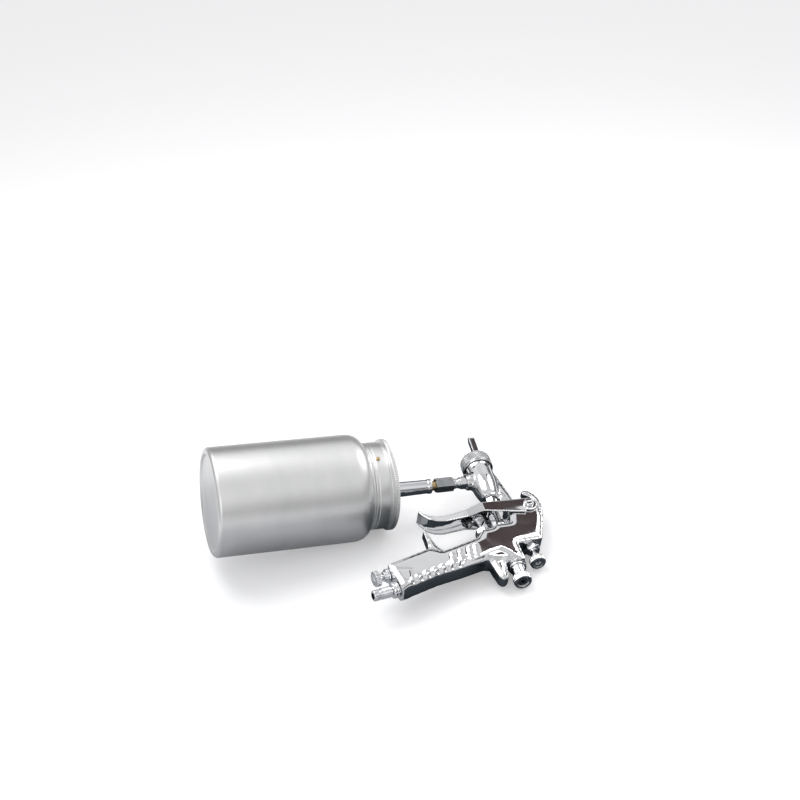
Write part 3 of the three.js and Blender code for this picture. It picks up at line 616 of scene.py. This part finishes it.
# ------------------------------------------------------------------ handle fittings
# At the bottom of the handle: the air adjusting valve in front, with its gland, stem and
# knurled knob, and the round collar and hose nipple of the air inlet behind it.
OUT = (-math.cos(math.radians(10)), -math.sin(math.radians(10)), 0)
ADJUST, INLET = (141.5, -120.4, 0), (144.9, -138.6, 0)
gland_profile = rounded([
    (2.2, -6.4), (3.5, -6.4), (3.5, 0.3), (5.8, 0.3, 0.3), (6.4, 0.9, 0.4), (6.4, 3, 0.4),
    (5.8, 3.5, 0.4), (4.6, 3.7, 0.3), (4.6, 5.6, 0.4), (2.2, 5.6)])
piece("gland_adjust", [turned(gland_profile, ADJUST, OUT, 80, ring=True)], chrome, "gun",
      "handle_valve_gland", slot="chrome")
piece("stem_adjust", [turned(rounded([(0, -13), (1.9, -11, 0.4), (1.9, 13), (0, 13)]), ADJUST, OUT, 40)],
      nickel, "handle_knob_body", "handle_valve_stem", slot="steel")
adjust_knob_profile = rounded([
    (2.3, 7.4), (3.4, 7.4, 0.4), (4, 8, 0.4), (4, 9, 0.4), (6.6, 9.6, 0.5), (7.4, 10.3, 0.5), (7.4, 12),
    (7.4, 13.4), (7.4, 14.4, 0.5), (6.6, 15, 0.5), (5.4, 15, 0.4), (4.6, 14.3, 0.4), (2.6, 14.1, 0.2),
    (2.3, 13.6, 0.1)])
piece("knob_adjust", [turned(adjust_knob_profile, ADJUST, OUT, 288, teeth(24, 0.5, 9.8, 14.9, 0.8), True)],
      chrome, "handle_knob_body", "handle_valve_knob", slot="chrome", sharp=50)
collar_fitting = rounded([
    (3.2, -10), (5.7, -10), (5.7, 0.3), (6.6, 0.3, 0.3), (7.2, 0.9, 0.4), (7.2, 2.6, 0.3),
    (6.8, 3, 0.3), (6.8, 3.4, 0.3), (7.2, 3.8, 0.3), (7.2, 5.4, 0.5), (6.4, 6.4, 0.5), (3.2, 6.4)])
piece("collar_inlet", [turned(collar_fitting, INLET, OUT, 88, ring=True)], chrome, "gun",
      "inlet_collar", slot="chrome")


def thread(pitch, depth, start, end):
    """A screw thread as a ripple: depth times a triangle wave that winds once a pitch."""
    def wave(angle, distance, radius):
        ease = np.clip((distance - start) / 0.8, 0, 1) * np.clip((end - distance) / 0.8, 0, 1)
        turn = (distance / pitch - angle / (2 * np.pi)) % 1
        return np.where(radius > 4.6, -depth * ease * 2 * np.abs(turn - 0.5), 0)
    return wave


nipple_profile = np.concatenate([
    rounded([(3, 6.7), (4, 6.7, 0.2), (4, 8.4, 0.3), (5.2, 9, 0.3)]),
    np.stack([np.full(64, 5.2), np.linspace(9.4, 17, 64)], 1),
    rounded([(5.2, 17.2), (4.4, 17.7, 0.3), (4.4, 19, 0.3), (5, 19.6, 0.3), (5, 24.3, 0.4),
             (4.4, 25, 0.4), (3, 25)])])
piece("nipple_inlet", [turned(nipple_profile, INLET, OUT, 96, thread(1.2, 0.6, 9.2, 17.2), True)],
      chrome, "gun", "air_inlet", slot="chrome", sharp=60)

# ------------------------------------------------------------------ inner pieces
# What is hidden when the gun is whole: nozzle, needle, springs and stems of bare steel,
# brass seats and strainer, and black seals.
steel = bare_metal("bare_steel", (0.56, 0.57, 0.58), 0.18, 0.34, worn=0.15)
rubber, soft, add = shader("black_rubber")
at = add("ShaderNodeTexCoord")
mottle = add("ShaderNodeTexNoise", {"Vector": at.outputs["Object"], "Scale": 300, "Detail": 4})
dusk = add("ShaderNodeValToRGB", {0: mottle.outputs[0]})
dusk.color_ramp.elements[0].color = (0.010, 0.010, 0.011, 1)
dusk.color_ramp.elements[1].color = (0.030, 0.029, 0.029, 1)
link(rubber, dusk.outputs[0], soft.inputs["Base Color"])
soft.inputs["Roughness"].default_value = 0.7
for finish, nodes in {
        steel: ("fluid_nozzle", "needle", "air_valve_spring", "needle_spring", "fluid_adjuster",
                "pickup_tube"),
        brass: ("baffle_ring", "air_valve_poppet", "strainer"),
        rubber: ("needle_packing", "air_valve_seat", "spreader_seal", "handle_valve_seal",
                 "lid_gasket")}.items():
    for node in nodes:
        for slot in frame["nodes"][node].material_slots:
            slot.material = finish
